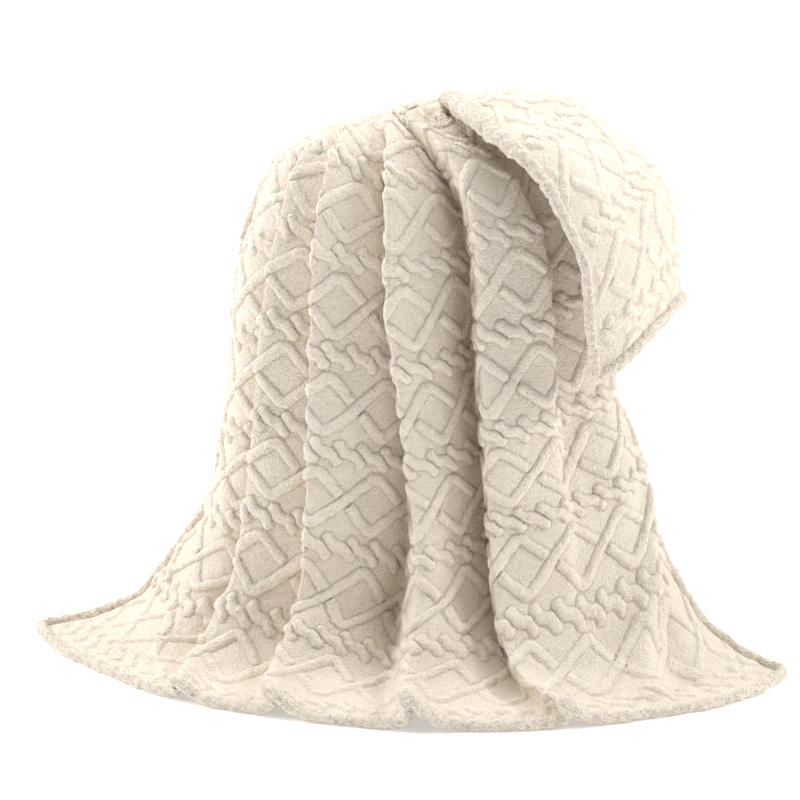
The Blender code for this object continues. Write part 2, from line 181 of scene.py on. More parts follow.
def smooth(values, axis, sigma):
    """Gaussian smoothing along one axis, in samples, that leaves the two ends in place."""
    reach = int(np.ceil(3 * sigma))
    kernel = np.exp(-0.5 * (np.arange(-reach, reach + 1) / sigma) ** 2)
    rows = np.moveaxis(values, axis, 0)
    count = len(rows)
    before = 2 * rows[:1] - rows[np.minimum(np.arange(reach, 0, -1), count - 1)]
    after = 2 * rows[-1:] - rows[np.maximum(count - 1 - np.arange(1, reach + 1), 0)]
    padded = np.concatenate([before, rows, after])
    total = sum(w * padded[i : i + count] for i, w in enumerate(kernel / kernel.sum()))
    return np.moveaxis(total, 0, axis)


def unit(vectors):
    return vectors / np.maximum(np.linalg.norm(vectors, axis=-1, keepdims=True), 1e-12)


def running_sum(values, step):
    return np.concatenate([[0], np.cumsum((values[1:] + values[:-1]) * step / 2)])


def smoothstep(low, high, x):
    t = np.clip((x - low) / (high - low), 0, 1)
    return t * t * (3 - 2 * t)


# ---------------------------------------------------------------- the drape, as in the CAD model
def front_profile(v):
    risen = 1 - np.exp(-((v / SPREAD_LENGTH) ** SPREAD_POWER))
    slope = np.radians(FOOT_SLOPE + (BODY_SLOPE - FOOT_SLOPE) * risen)
    height = running_sum(np.sin(slope), v[1] - v[0])
    reach = running_sum(np.cos(slope), v[1] - v[0])
    return height, reach[-1] - reach


def oval(angle, reach_x, reach_y, power):
    cosine, sine = np.cos(angle), np.sin(angle)
    x = CENTRE_X + (HALF_WIDTH + reach_x) * np.sign(cosine) * np.abs(cosine) ** power
    y = (HALF_DEPTH + reach_y) * np.sign(sine) * np.abs(sine) ** power
    return x, y


def quarter_arc(low, high, bow=0.0, samples=41):
    turn = np.linspace(0, np.pi / 2, samples)[:, None]
    across = 1 - np.cos(turn) ** DOME_ROUNDNESS
    rise = np.sin(turn) ** DOME_ROUNDNESS
    heading = high[:2] - low[:2]
    sideways = unit(np.array([heading[1], -heading[0]]))
    plan = low[:2] + heading * across - 4 * bow * across * (1 - across) * sideways
    return np.hstack([plan, low[2] + (high[2] - low[2]) * rise])


def turn_about_swirl(radius, start, end, before, after, drawn_in=False, samples=31):
    if drawn_in:
        radius = radius * (DRAWN_IN_TO + (1 - DRAWN_IN_TO) * smoothstep(*DRAWN_IN_RADII, radius))
    t = np.linspace(0, 1, samples)
    angle = np.radians(start + (end - start) * t)
    x = SWIRL_CENTRE[0] + radius * np.cos(angle)
    y = SWIRL_CENTRE[1] + radius * np.sin(angle)
    return np.stack([x, y, before + (after - before) * t**2 * (3 - 2 * t)], -1)


def crown(points):
    away = np.hypot(*(points[:, :2] - CROWN).T) / CROWN_RADIUS
    return points + [0, 0, CROWN_HEIGHT] * np.exp(-(away**2))[:, None]


def line_path(v_samples, front_angles, foot, swell, swirl, shoulder, end):
    v = np.linspace(0, SHOULDER_V, 125)
    height, reach = front_profile(v)
    reach = reach * (1 + (foot - 1) * np.exp(-((v / FOOT_FADE) ** 2)))
    reach = reach + swell * np.exp(-(((v - SWELL_V) / SWELL_LENGTH) ** 2))
    angle = smooth(np.interp(v, STATIONS, front_angles), 0, 8)
    x, y = oval(angle, SPREAD_X * reach, SPREAD_Y * reach, 1 - SQUARING * np.clip(v / SQUARE_FROM_V, 0, 1))
    front = np.stack([x, y, height], -1)

    shoulder_x, shoulder_y = oval(np.radians(shoulder[0]), shoulder[1], shoulder[1], REAR_OVAL)
    rear_shoulder = np.array([shoulder_x, shoulder_y, shoulder[2]])
    drop = np.linspace(0, REAR_DROP, 60)
    rear_angle = np.radians(shoulder[0] + (end[0] - shoulder[0]) * np.clip(drop / REAR_TURN_DROP, 0, 2))
    rear_reach = shoulder[1] + (end[1] - shoulder[1]) * (drop / REAR_REACH_DROP) ** REAR_REACH_POWER
    x, y = oval(rear_angle, rear_reach, rear_reach, REAR_OVAL)
    hang = np.stack([x, y, shoulder[2] - drop], -1)

    def whole_path(drawn_in):
        turn = turn_about_swirl(*swirl, drawn_in)
        up = quarter_arc(front[-1], turn[0])
        down = crown(quarter_arc(rear_shoulder, turn[-1], shoulder[3])[::-1])
        return np.concatenate([front, up[1:], turn[1:-1], down, hang[1:]]), len(up), len(down)

    path, up_count, down_count = whole_path(False)
    steps = np.linalg.norm(np.diff(path, axis=0), axis=1)
    steps[: len(v) - 1] = v[1]
    steps[len(front) + up_count - 2 : -down_count - len(hang) + 2] *= SWIRL_EASE
    length = np.concatenate([[0], np.cumsum(steps)])
    path = whole_path(True)[0]  # the swirl's middle is drawn tight here, at the same length
    return np.stack([np.interp(v_samples, length, path[:, c]) for c in range(3)], -1)


def unpleated_sheet(u, v):
    line_u = [line[0] for line in LINES]

    def across(part, index=None):
        values = [line[part] if index is None else line[part][index] for line in LINES]
        return smooth(np.interp(u, line_u, values), 0, 0.03 / (u[1] - u[0]))

    def across_all(part):
        return np.stack([across(part, i) for i in range(len(LINES[0][part]))], -1)

    angles = np.radians(across_all(1))
    foot, swell = across(2), across(3)
    swirl, shoulder, end = (across_all(part) for part in (4, 5, 6))
    columns = [
        line_path(v, angles[i], foot[i], swell[i], swirl[i], shoulder[i], end[i]) for i in range(len(u))
    ]
    return smooth(np.stack(columns, 1), 0, 0.02 / (v[1] - v[0]))


def settled(points):
    x, y, z = np.moveaxis(points, -1, 0)
    t = np.clip((z - SINK_FROM) / (SINK_TO - SINK_FROM), 0, 1)
    slide = np.interp(x, SLIDE_AT, SLIDE) * np.exp(-((z / SLIDE_HEIGHT) ** 2))
    sink = np.interp(x, SINK_AT, SINK) * t * t * (3 - 2 * t)
    return np.stack([x, y + slide, z - sink], -1)


def unit_normals(points):
    return unit(np.cross(np.gradient(points, axis=1), np.gradient(points, axis=0)))


# ---------------------------------------------------------------- full pleats
def bilinear(values, rows, columns):
    """Values on a grid, read at fractional row and column numbers."""
    r = np.clip(rows, 0, values.shape[0] - 1.001)
    c = np.clip(columns, 0, values.shape[1] - 1.001)
    r0, c0 = r.astype(int), c.astype(int)
    fr, fc = r - r0, c - c0
    if values.ndim == 3:
        fr, fc = fr[..., None], fc[..., None]
    low = values[r0, c0] * (1 - fc) + values[r0, c0 + 1] * fc
    high = values[r0 + 1, c0] * (1 - fc) + values[r0 + 1, c0 + 1] * fc
    return low * (1 - fr) + high * fr


def pleat_section(distance, widths, crest_u):
    """The folded section at one distance from the front hem.

    Gives the u on the cloth, the u where it lies and the depth of each corner point, and the valleys' u.
    """
    fade = smoothstep(PLEAT_END_V + PLEAT_FADE, PLEAT_END_V, distance)
    near = np.exp(-((distance / ARCH_REACH_V) ** 2))
    cloth, place, depth, valleys = [0.0], [0.0], [0.0], []
    for k in range(1, len(crest_u)):
        span = crest_u[k] - crest_u[k - 1]
        cloth_start, place_start = cloth[-1], place[-1]
        lift = HEM_ARCHES.get(k, 0.0) * near
        if k in PLEATS:
            valleys.append(crest_u[k] - UNFOLDED_VALLEY * span)
        if k in PLEATS and fade > 0.01:
            depths, leans = PLEATS[k]
            deep = np.interp(distance, STATIONS, depths) * fade * (1 - near)
            lean = np.interp(distance, STATIONS, leans) * fade
            share = np.clip((np.hypot(widths[k], deep + lift) + lean) / span, *PANEL_SHARES)
            valley_u = crest_u[k - 1] + span * (1 - (1 - share) * fade)
            valley_at = crest_u[k] + lean * span / max(widths[k], NARROWEST)
            valleys[-1] = min(valley_u, crest_u[k] - VALLEY_GAP)
            for part, sunk in BULGING if k == 2 else EVEN:
                cloth.append(cloth_start + (valley_u - cloth_start) * part)
                place.append(place_start + (valley_at - place_start) * part)
                depth.append(-deep * sunk)
        if k == RECESS_LINE:
            deep = np.interp(distance, STATIONS, RECESS) * fade
            if deep > 0.001:
                cloth += [crest_u[k - 1] + way for way in RECESS_CLOTH]
                place += [crest_u[k - 1] + way for way in RECESS_PLACE]
                depth += [-deep, -RECESS_FAR_SHARE * deep]
        cloth.append(crest_u[k])
        place.append(crest_u[k])
        depth.append(lift)
        if lift > 0.0005:
            cloth.append(crest_u[k] + ARCH_CLOTH)
            place.append(crest_u[k] + ARCH_PLACE)
            depth.append(ARCH_END_SHARE * lift)
    return cloth, place, depth, valleys


def pattern_place(u, v, points, valleys):
    """Where on the pattern each point lies (u, v): true to scale from the crest or edge that its panel starts at.

    The cloth that a real pleat hides is left out, so the pattern breaks off in each valley, and each panel's
    weave hangs at a slant of its own, which dies out at the hem.
    """
    steps = np.linalg.norm(np.diff(points, axis=1), axis=-1)
    length = np.concatenate([np.zeros((len(v), 1)), np.cumsum(steps, axis=1)], 1)
    length = smooth(length, 0, SOFTNESS_ALONG / v[1])

    def measured_from(anchors, breaks):
        """The anchor's u and the way along the cloth from it, and which panel each point is on."""
        start_u, along, panel = np.empty((3,) + points.shape[:2])
        for r in range(len(v)):
            start = np.interp(anchors, u, length[r])
            on = np.searchsorted(breaks[r], u)
            start_u[r], along[r], panel[r] = np.take(anchors, on), length[r] - start[on], on
        return start_u, along, panel.astype(int)

    crests = [0.0] + [LINES[k][0] for k in sorted(PLEATS)]
    start_u, along, panel = measured_from(crests, valleys)
    middle_u, drift, row_shift, row_tilt = (np.take(column, panel) for column in np.array(PANEL_WEAVE).T)
    half_period = DIAMOND_PERIOD / 2
    shift = middle_u - start_u
    shift = shift - np.round(shift / half_period) * half_period + drift * (v[:, None] - PATTERN_V)
    hung = smoothstep(*WEAVE_FROM_V, v)[:, None] * smoothstep(*WEAVE_TO_V, v)[:, None] * (panel > 0)
    front_u = start_u + along + hung * shift
    front_v = v[:, None] + hung * (row_shift - row_tilt * along)

    folds = np.linspace(0, WIDTH, REAR_FOLDS + 1)
    halfway = np.tile((folds[:-1] + folds[1:])[None, :] / 2, (len(v), 1))
    start_u, along, panel = measured_from(folds, halfway)
    share = smoothstep(*REAR_WEAVE_V, v)[:, None]
    return front_u * (1 - share) + (start_u + along) * share, front_v


def value_noise(x, y, scale, seed):
    """Smooth seeded noise from -1 to 1 with features about one scale across."""
    rng = np.random.default_rng(seed)
    table = rng.uniform(-1, 1, (256, 256))
    x, y = x / scale + 37.2, y / scale + 11.7
    x0, y0 = np.floor(x).astype(int), np.floor(y).astype(int)
    fx, fy = x - x0, y - y0
    fx, fy = fx * fx * (3 - 2 * fx), fy * fy * (3 - 2 * fy)
    a = table[y0 % 256, x0 % 256] * (1 - fx) + table[y0 % 256, (x0 + 1) % 256] * fx
    b = table[(y0 + 1) % 256, x0 % 256] * (1 - fx) + table[(y0 + 1) % 256, (x0 + 1) % 256] * fx
    return a * (1 - fy) + b * fy


def drape(columns, rows):
    """The pleated sheet: u, v, middle points, outward normals, a mask of painted shade on the floors of deep
    folds, its place on the pattern.
    """
    base_u, base_v = np.linspace(0, WIDTH, STAND_U_COUNT), np.linspace(0, LENGTH, STAND_V_COUNT)
    base = unpleated_sheet(base_u, base_v)
    out = unit_normals(smooth(smooth(base, 0, 5), 1, 5))
    steps = np.linalg.norm(np.diff(base, axis=1), axis=-1)
    reached = np.concatenate([np.zeros((len(base_v), 1)), np.cumsum(steps, axis=1)], 1)

    u, v = np.linspace(0, WIDTH, columns), np.linspace(0, LENGTH, rows)
    crest_u = [line[0] for line in LINES]
    place, depth = np.empty((rows, columns)), np.empty((rows, columns))
    valleys = np.empty((rows, len(PLEATS)))
    for r, distance in enumerate(v):
        across = reached[min(int(round(distance / base_v[1])), len(base_v) - 1)]
        at = np.interp(crest_u, base_u, across)
        cloth_u, place_u, deep, valleys[r] = pleat_section(distance, np.diff(at, prepend=0.0), crest_u)
        place[r] = np.interp(u, cloth_u, place_u)
        depth[r] = np.interp(u, cloth_u, deep)
    su, sv = CREASE_SOFTNESS / u[1], SOFTNESS_ALONG / v[1]
    place = smooth(smooth(place, 1, su), 0, sv)
    soft_hem = np.exp(-((v / SOFT_HEM_V) ** 2))[:, None]
    depth = smooth(depth, 1, su) * (1 - soft_hem) + smooth(depth, 1, HEM_SOFTNESS / u[1]) * soft_hem
    depth = smooth(depth, 0, sv)
    # Painted shade: the mask that paints the pile darker on the floors of deep folds
    hollow = smoothstep(*FOLD_SHADE_DEPTHS, -depth) * smoothstep(*FOLD_SHADE_TO_V, v)[:, None]
    rear = smoothstep(*REAR_FOLD_V, v)[:, None] * (1 - FLAP_CALM * smoothstep(*FLAP_CALM_U, u))[None, :]
    depth += REAR_FOLD_DEPTH * rear * np.cos(2 * np.pi * REAR_FOLDS * u / WIDTH)[None, :]

    uu, vv = np.meshgrid(u, v)
    ridge_u = np.interp(vv, RIDGE_V, RIDGE_U)
    ditch = np.exp(-(((uu - ridge_u - DITCH_OFFSET) / DITCH_WIDTH) ** 2))
    ridge = np.exp(-(((uu - ridge_u) / RIDGE_WIDTH) ** 2)) - DITCH_SHARE * ditch
    depth += RIDGE_HEIGHT * ridge * smoothstep(*RIDGE_FROM_V, vv) * smoothstep(*RIDGE_TO_V, vv)
    wave = sum(height * value_noise(uu, vv, scale, SEED + i) for i, (height, scale) in enumerate(WAVES))
    depth += wave * smoothstep(*WAVES_FROM_V, vv)
    rows_at, columns_at = vv / base_v[1], place / base_u[1]
    points = bilinear(base, rows_at, columns_at)
    points = settled(points + depth[..., None] * unit(bilinear(out, rows_at, columns_at)))
    under_flap_v = smoothstep(*UNDER_FLAP_FROM_V, v) * smoothstep(*UNDER_FLAP_TO_V, v)
    under_flap = smoothstep(*UNDER_FLAP_U, u)[None, :] * under_flap_v[:, None]
    points += UNDER_FLAP_LIFT * under_flap[..., None]
    x, z = points[..., 0], points[..., 2]
    crowned = sum(np.exp(-(((x - side) / CROWN_REACH) ** 2)) for side in CROWN_SIDES)
    sloped = np.exp(-(((z - SHOULDER_Z) / SHOULDER_REACH) ** 2)) * smoothstep(*SHOULDER_X, x)
    right = np.exp(-(((z - RIGHT_Z) / RIGHT_REACH) ** 2)) * smoothstep(*RIGHT_X, x)
    sloped -= RIGHT_SHARE * right * smoothstep(*RIGHT_V, v)[:, None]
    raise_by = CROWN_UP * crowned * smoothstep(*CROWN_Z, z)
    points += np.stack([SHOULDER_IN * sloped, 0 * z, raise_by], -1)
    left = smoothstep(*LEFT_EDGE_U, u)[None, :]
    foot_height = np.exp(-(((points[..., 2] - FLARE_Z) / FLARE_REACH) ** 2))
    flare = FLARE * foot_height * smoothstep(*FLARE_V, v)[:, None]
    points[..., 0] += left * (TUCK * smoothstep(*TUCK_V, v)[:, None] - flare)
    floor = FLOOR_GAP * np.clip(v / FLOOR_GAP_BY, 0, 1)[:, None]
    points[..., 2] = np.maximum(points[..., 2], floor) + EDGE_HEIGHT
    points += MODEL_SHIFT
    normals = unit_normals(smooth(smooth(points, 0, 2), 1, 2))
    return u, v, points, normals, hollow, pattern_place(u, v, points, valleys)


# ---------------------------------------------------------------- relief
def dome(distance, radius):
    """A raised bar's section: a flat top with round steep sides."""
    return np.clip(1 - (distance / radius) ** SECTION_POWER, 0, 1) ** SECTION_ROUNDING


def braid(u, y):
    """Distances to the middle lines of the nearest and second nearest strand of a rope along u."""
    along = np.array([np.cos(BRAID_SLANT), -np.sin(BRAID_SLANT)])
    nearest, second = np.full(u.shape, 1.0), np.full(u.shape, 1.0)
    first = np.floor(u / BRAID_PITCH)
    for step in range(-1, 4):
        x = u - (first + step) * BRAID_PITCH
        s = x * along[0] + y * along[1]
        t = -x * along[1] + y * along[0]
        t = t - STRAND_BEND * np.sin(np.pi * np.clip(s / STRAND_HALF_LENGTH, -1, 1))
        past = np.maximum(np.abs(s) - STRAND_HALF_LENGTH, 0)
        here = np.hypot(past, t)
        second = np.minimum(second, np.maximum(nearest, here))
        nearest = np.minimum(nearest, here)
    return nearest, second


def zigzag(u, y, flip):
    """(distance to its middle line, how steeply it rises) of one zigzag bar of the diamonds."""
    phase = 2 * np.pi * u / DIAMOND_PERIOD
    wave = np.arcsin(DIAMOND_SHARPNESS * np.sin(phase)) / np.arcsin(DIAMOND_SHARPNESS) * flip
    rising = np.cos(phase) * flip
    steep = np.clip(np.abs(np.cos(phase)) / 0.30, 0, 1)
    slope = DIAMOND_HALF_HEIGHT * 4 / DIAMOND_PERIOD
    return np.abs(y - DIAMOND_HALF_HEIGHT * wave) * np.cos(np.arctan(slope * steep)), rising


def relief(u, v):
    """(height from 0 to 1, crease from 0 to 1) of the carved pattern on the flat cloth."""
    row = (v - ROW_START) / ROW_PITCH
    y_braid = (row - np.round(row)) * ROW_PITCH
    y_band = (row - np.floor(row) - 0.5) * ROW_PITCH
    rope, next_rope = braid(u, y_braid)
    parting = smoothstep(0.0, PARTING_WIDTH, next_rope - rope)
    half = BAR_WIDTH / 2
    height = dome(rope, STRAND_RADIUS) * (0.25 + 0.95 * parting)
    outside = rope - STRAND_RADIUS
    between = np.exp(-(((next_rope - rope) / PARTING_CREASE) ** 2)) * (rope < STRAND_RADIUS)
    first, first_rising = zigzag(u, y_band, 1)
    second, second_rising = zigzag(u, y_band, -1)
    for own, own_rising, other in ((first, first_rising, second), (second, second_rising, first)):
        under = smoothstep(0.0, 0.25, -own_rising)
        broken = under * (1 - smoothstep(half * BAR_GAP[0], half * BAR_GAP[1], other))
        height = np.maximum(height, dome(own, half) * (1 - broken))
        outside = np.minimum(outside, own - half + 0.02 * broken)
    # This mask both sinks the creases a little and, on the face, paints shade into the pile's colour in the
    # material
    crease = np.maximum(np.exp(-((outside / CREASE_WIDTH) ** 2)), between)
    return height, crease


def relief_grid(uu, vv, seen):
    """(bumps in metres, raised, crease) of the pattern where it is seen, faded out at the cloth's edges."""
    bend_u, bend_v = value_noise(uu, vv, BEND_SCALE_U, SEED + 5), value_noise(uu, vv, BEND_SCALE_V, SEED + 6)
    fray_u, fray_v = (value_noise(uu, vv, FRAY_SCALE, seed) for seed in (SEED + 7, SEED + 8))
    height, crease = relief(seen[0] + BEND * bend_u + FRAY * fray_u, seen[1] + BEND * bend_v + FRAY * fray_v)
    edge = np.minimum(np.minimum(uu, WIDTH - uu), np.minimum(vv, LENGTH - vv))
    fade = smoothstep(*EDGE_FADE, edge)
    fade = fade * (FOOT_RELIEF + (1 - FOOT_RELIEF) * smoothstep(*FOOT_RELIEF_V, vv))
    fade = fade * (1 - TOP_LOSS * smoothstep(*TOP_FROM_V, vv) * smoothstep(*TOP_TO_V, vv))
    fade = fade * (1 - FLAP_LOSS * smoothstep(*FLAP_FROM_V, vv) * smoothstep(*FLAP_FROM_U, uu))
    nubs = sum(0.5 * value_noise(uu, vv, scale, SEED + 2 + i) for i, scale in enumerate(NUB_SCALES))
    wobble = value_noise(uu, vv, WOBBLE_SCALE, SEED + 4)
    raised = RELIEF_HEIGHT * height * (1 + WOBBLE * wobble) - CREASE_DEPTH * crease * (1 - height)
    return fade * raised + nubs * (NUB_GROUND + NUB_EXTRA * height), height * fade, crease * fade


# ---------------------------------------------------------------- meshes
def grid_faces(rows, columns, flip=False):
    index = np.arange(rows * columns).reshape(rows, columns)
    a, b, c, d = index[:-1, :-1], index[:-1, 1:], index[1:, 1:], index[1:, :-1]
    order = (a, d, c, b) if flip else (a, b, c, d)
    return np.stack(order, -1).reshape(-1, 4)


def mesh_object(name, vertices, faces, uv=None, **attributes):
    mesh = bpy.data.meshes.new(name)
    mesh.vertices.add(len(vertices))
    mesh.vertices.foreach_set("co", np.asarray(vertices, np.float32).ravel())
    mesh.loops.add(faces.size)
    mesh.loops.foreach_set("vertex_index", faces.astype(np.int32).ravel())
    mesh.polygons.add(len(faces))
    mesh.polygons.foreach_set("loop_start", np.arange(0, faces.size, faces.shape[1], dtype=np.int32))
    mesh.update(calc_edges=True)
    mesh.validate()
    mesh.shade_smooth()
    if uv is not None:
        layer = mesh.uv_layers.new(name="OFBake")
        layer.data.foreach_set("uv", np.asarray(uv, np.float32)[faces.ravel()].ravel())
    for key, values in attributes.items():
        made = mesh.attributes.new(key, "FLOAT", "POINT")
        made.data.foreach_set("value", np.asarray(values, np.float32).ravel())
    obj = bpy.data.objects.new(name, mesh)
    bpy.context.scene.collection.objects.link(obj)
    return obj


def squeeze(u, points):
    """The share of its thickness that the cloth keeps: less where its columns are gathered close."""
    spacing = np.linalg.norm(np.gradient(points, axis=1), axis=-1) / u[1]
    return smooth(smooth(np.clip(spacing / GATHERED_BELOW, 0.5, 1), 0, 6), 1, 8)


def cloth_sheet(name, u, v, points, normals, offset, bumps, flip=False, **attributes):
    keep = squeeze(u, points)
    shell = points + ((offset * keep) + bumps)[..., None] * normals
    shell[..., 2] = np.maximum(shell[..., 2], LOWEST_CLOTH)
    uu, vv = np.meshgrid(u / LENGTH, v / LENGTH)
    uv = np.stack([uu, vv], -1).reshape(-1, 2)
    faces = grid_faces(len(v), len(u), flip)
    return mesh_object(name, shell.reshape(-1, 3), faces, uv, **attributes)


def hem_tube(name, edge, inside, normals, seed, fullness=None):
    """A soft rolled hem: a tube with round closed ends whose surface swells and curls."""
    radius, sides = HEM_RADIUS, HEM_SIDES
    fullness = np.ones(len(edge)) if fullness is None else fullness
    ends = unit(np.array([edge[0] - edge[1], edge[-1] - edge[-2]])) * 0.6 * radius
    edge, inside = (
        np.concatenate([line[:1] + ends[:1], line, line[-1:] + ends[1:]]) for line in (edge, inside)
    )
    normals = np.concatenate([normals[:1], normals, normals[-1:]])
    fullness = np.pad(fullness, 1, mode="edge")
    steps = np.linalg.norm(np.diff(edge, axis=0), axis=1)
    length = np.concatenate([[0], np.cumsum(steps)])
    count = int(length[-1] / HEM_STEP)
    at = np.linspace(0, length[-1], count)

    def along(values):
        return np.stack([np.interp(at, length, values[:, c]) for c in range(3)], -1)

    fullness = np.interp(at, length, fullness)
    edge, inside, normals = along(edge), along(inside), unit(along(normals))
    tangent = np.gradient(edge, axis=0)
    outward = unit(np.cross(tangent, normals))
    outward *= np.sign((outward * (edge - inside)).sum())
    up = unit(np.cross(outward, tangent))
    up *= np.sign((up * normals).sum())
    wander = value_noise(at, at * 0, HEM_WANDER_SCALE, seed)[:, None] * HEM_WANDER
    centres = edge + (HEM_OUT * radius * fullness[:, None] + wander) * outward
    angle = np.linspace(0, 2 * np.pi, sides, endpoint=False)
    aa, tt = np.meshgrid(angle, at)
    girth = aa * radius
    curls = value_noise(tt, girth, FINE_CURL_SCALE, seed + 1) * 0.5
    curls = curls + value_noise(tt + girth * CURL_SLANT, girth, WIDE_CURL_SCALE, seed + 2) * 0.5
    swell = value_noise(tt, tt * 0, HEM_SWELL_SCALE, seed + 3)
    from_end = np.clip(np.minimum(at, at[-1] - at) / radius, 0.0003, 1)
    rounding = np.sqrt(1 - (1 - from_end) ** 2)
    r = radius * (fullness * rounding)[:, None] * (1 + HEM_SWELL * swell + HEM_CURL * curls)
    ring = np.cos(aa)[..., None] * outward[:, None] + np.sin(aa)[..., None] * up[:, None]
    vertices = centres[:, None] + r[..., None] * ring
    vertices[..., 2] = np.maximum(vertices[..., 2], LOWEST_HEM)
    index = np.arange(count * sides).reshape(count, sides)
    nxt = np.roll(index, -1, axis=1)
    faces = np.stack([index[:-1], nxt[:-1], nxt[1:], index[1:]], -1).reshape(-1, 4)
    k = np.arange(sides // 2 - 1)
    cap = np.stack([k, k + 1, sides - 2 - k, sides - 1 - k], -1)
    faces = np.concatenate([faces, cap[:, ::-1], cap + index[-1, 0]])
    return mesh_object(name, vertices.reshape(-1, 3), faces, nub=(curls * 0.5 + 0.5).ravel())


# ---------------------------------------------------------------- materials
class Nodes:
    """A short way to write a node tree."""

    def __init__(self, name):
        self.material = bpy.data.materials.new(name)
        self.material.use_nodes = True
        self.tree = self.material.node_tree
        self.shader = self.tree.nodes["Principled BSDF"]

    def add(self, kind, **settings):
        node = self.tree.nodes.new(kind)
        for key, value in settings.items():
            setattr(node, key, value)
        return node

    def link(self, source, target):
        self.tree.links.new(source, target)

    def put(self, target, value):
        if isinstance(value, bpy.types.NodeSocket):
            self.link(value, target)
        else:
            target.default_value = value

    def noise(self, vector, scale, detail=2.0, roughness=0.5):
        node = self.add("ShaderNodeTexNoise")
        self.link(vector, node.inputs["Vector"])
        node.inputs["Scale"].default_value = scale
        node.inputs["Detail"].default_value = detail
        node.inputs["Roughness"].default_value = roughness
        return node.outputs["Fac"]

    def cells(self, vector, scale):
        node = self.add("ShaderNodeTexVoronoi", feature="F1")
        self.link(vector, node.inputs["Vector"])
        node.inputs["Scale"].default_value = scale
        return node.outputs["Distance"]

    def multiply(self, a, b):
        node = self.add("ShaderNodeMath", operation="MULTIPLY")
        self.put(node.inputs[0], a)
        self.put(node.inputs[1], b)
        return node.outputs[0]

    def ramp(self, value, low, high, to_low=0.0, to_high=1.0):
        node = self.add("ShaderNodeMapRange", interpolation_type="SMOOTHSTEP")
        self.put(node.inputs["Value"], value)
        for key, number in zip(("From Min", "From Max", "To Min", "To Max"), (low, high, to_low, to_high)):
            node.inputs[key].default_value = number
        return node.outputs["Result"]

    def mix(self, factor, a, b):
        node = self.add("ShaderNodeMix", data_type="RGBA")
        self.put(node.inputs["Factor"], factor)
        self.put(node.inputs[6], a)
        self.put(node.inputs[7], b)
        return node.outputs[2]

    def bump(self, height, distance, normal=None):
        node = self.add("ShaderNodeBump")
        node.inputs["Strength"].default_value = 1.0
        node.inputs["Distance"].default_value = distance
        self.link(height, node.inputs["Height"])
        if normal is not None:
            self.link(normal, node.inputs["Normal"])
        return node.outputs["Normal"]


def plush(name, raised_colour, shaded_ground_colour, deep_tone_and_shade_colour, high, crease=None, hollow=None, pile=1.0):
    """Short pile. The attributes named by high, crease and hollow say where it stands tall, where it parts and
    where it lies deep in a fold; pile is how coarse it is. Its colour holds painted shade: the ground between
    the raised parts is darker, and the partings and the floors of deep folds are painted toward the deep colour."""
    n = Nodes(name)
    place = n.add("ShaderNodeTexCoord").outputs["Object"]
    tall = n.add("ShaderNodeAttribute", attribute_name=high).outputs["Fac"]
    grain = n.cells(place, 400.0)
    clumps = n.noise(place, 300.0, 2.0, 0.6)
    patches = n.noise(place, 22.0, 3.0, 0.6)
    # Painted shade: by the pile's height, the ground between the raised parts takes a darker copy of the cream
    # and the raised tops a lighter one
    colour = n.mix(n.ramp(tall, 0.05, 0.75), shaded_ground_colour, raised_colour)
    colour = n.mix(n.ramp(clumps, 0.52, 0.30, 0.0, 0.12), colour, deep_tone_and_shade_colour)
    colour = n.mix(n.ramp(patches, 0.35, 0.70, 0.0, 0.25), colour, raised_colour)
    # Painted shade: the partings between strands and the creases along the raised parts' edges are painted toward
    # the deep colour, up to 40 %, where shade falls
    if crease is not None:
        parting = n.add("ShaderNodeAttribute", attribute_name=crease).outputs["Fac"]
        colour = n.mix(n.ramp(parting, 0.15, 1.0, 0.0, 0.40), colour, deep_tone_and_shade_colour)
    # Painted shade: the floors of deep folds are painted toward the deep colour, up to 60 %
    if hollow is not None:
        folded = n.add("ShaderNodeAttribute", attribute_name=hollow).outputs["Fac"]
        colour = n.mix(n.ramp(folded, 0.0, 1.0, 0.0, 0.60), colour, deep_tone_and_shade_colour)
    n.put(n.shader.inputs["Base Color"], colour)
    n.put(n.shader.inputs["Roughness"], 0.96)
    n.put(n.shader.inputs["Specular IOR Level"], 0.10)
    n.put(n.shader.inputs["Sheen Weight"], 0.22)
    n.put(n.shader.inputs["Sheen Roughness"], 0.55)
    n.put(n.shader.inputs["Sheen Tint"], (1.0, 0.95, 0.88, 1.0))
    nubs = n.bump(n.ramp(grain, 0.0, 0.75, 1.0, 0.0), 0.0009 * pile)
    tufts = n.multiply(clumps, n.ramp(tall, 0.0, 0.8, 0.75, 1.0))
    n.put(n.shader.inputs["Normal"], n.bump(tufts, 0.0021 * pile, normal=nubs))
    return n.material


def tape(name):
    """Fine woven satin tape."""
    n = Nodes(name)
    place = n.add("ShaderNodeTexCoord").outputs["Object"]
    weave = n.noise(place, 1400.0, 2.0)
    colour = n.mix(n.ramp(weave, 0.3, 0.7), (0.80, 0.78, 0.74, 1), (0.88, 0.87, 0.84, 1))
    n.put(n.shader.inputs["Base Color"], colour)
    n.put(n.shader.inputs["Roughness"], 0.55)
    n.put(n.shader.inputs["Normal"], n.bump(weave, 0.0003))
    return n.material


def plain(name, colour, roughness, glow):
    """A matt, almost even tone that gives off a little light of its own."""
    n = Nodes(name)
    place = n.add("ShaderNodeTexCoord").outputs["Object"]
    tone = n.noise(place, 3.0, 2.0)
    light = tuple(min(1.0, c * 1.01) for c in colour[:3]) + (1.0,)
    n.put(n.shader.inputs["Base Color"], n.mix(tone, colour, light))
    n.put(n.shader.inputs["Roughness"], roughness)
    n.put(n.shader.inputs["Emission Color"], (1.0, 1.0, 1.0, 1.0))
    n.put(n.shader.inputs["Emission Strength"], glow)
    return n.material


# ---------------------------------------------------------------- the throw
u, v, points, normals, hollow, seen = drape(COLUMNS, ROWS)
uu, vv = np.meshgrid(u, v)
bumps, raised, crease = relief_grid(uu, vv, seen)
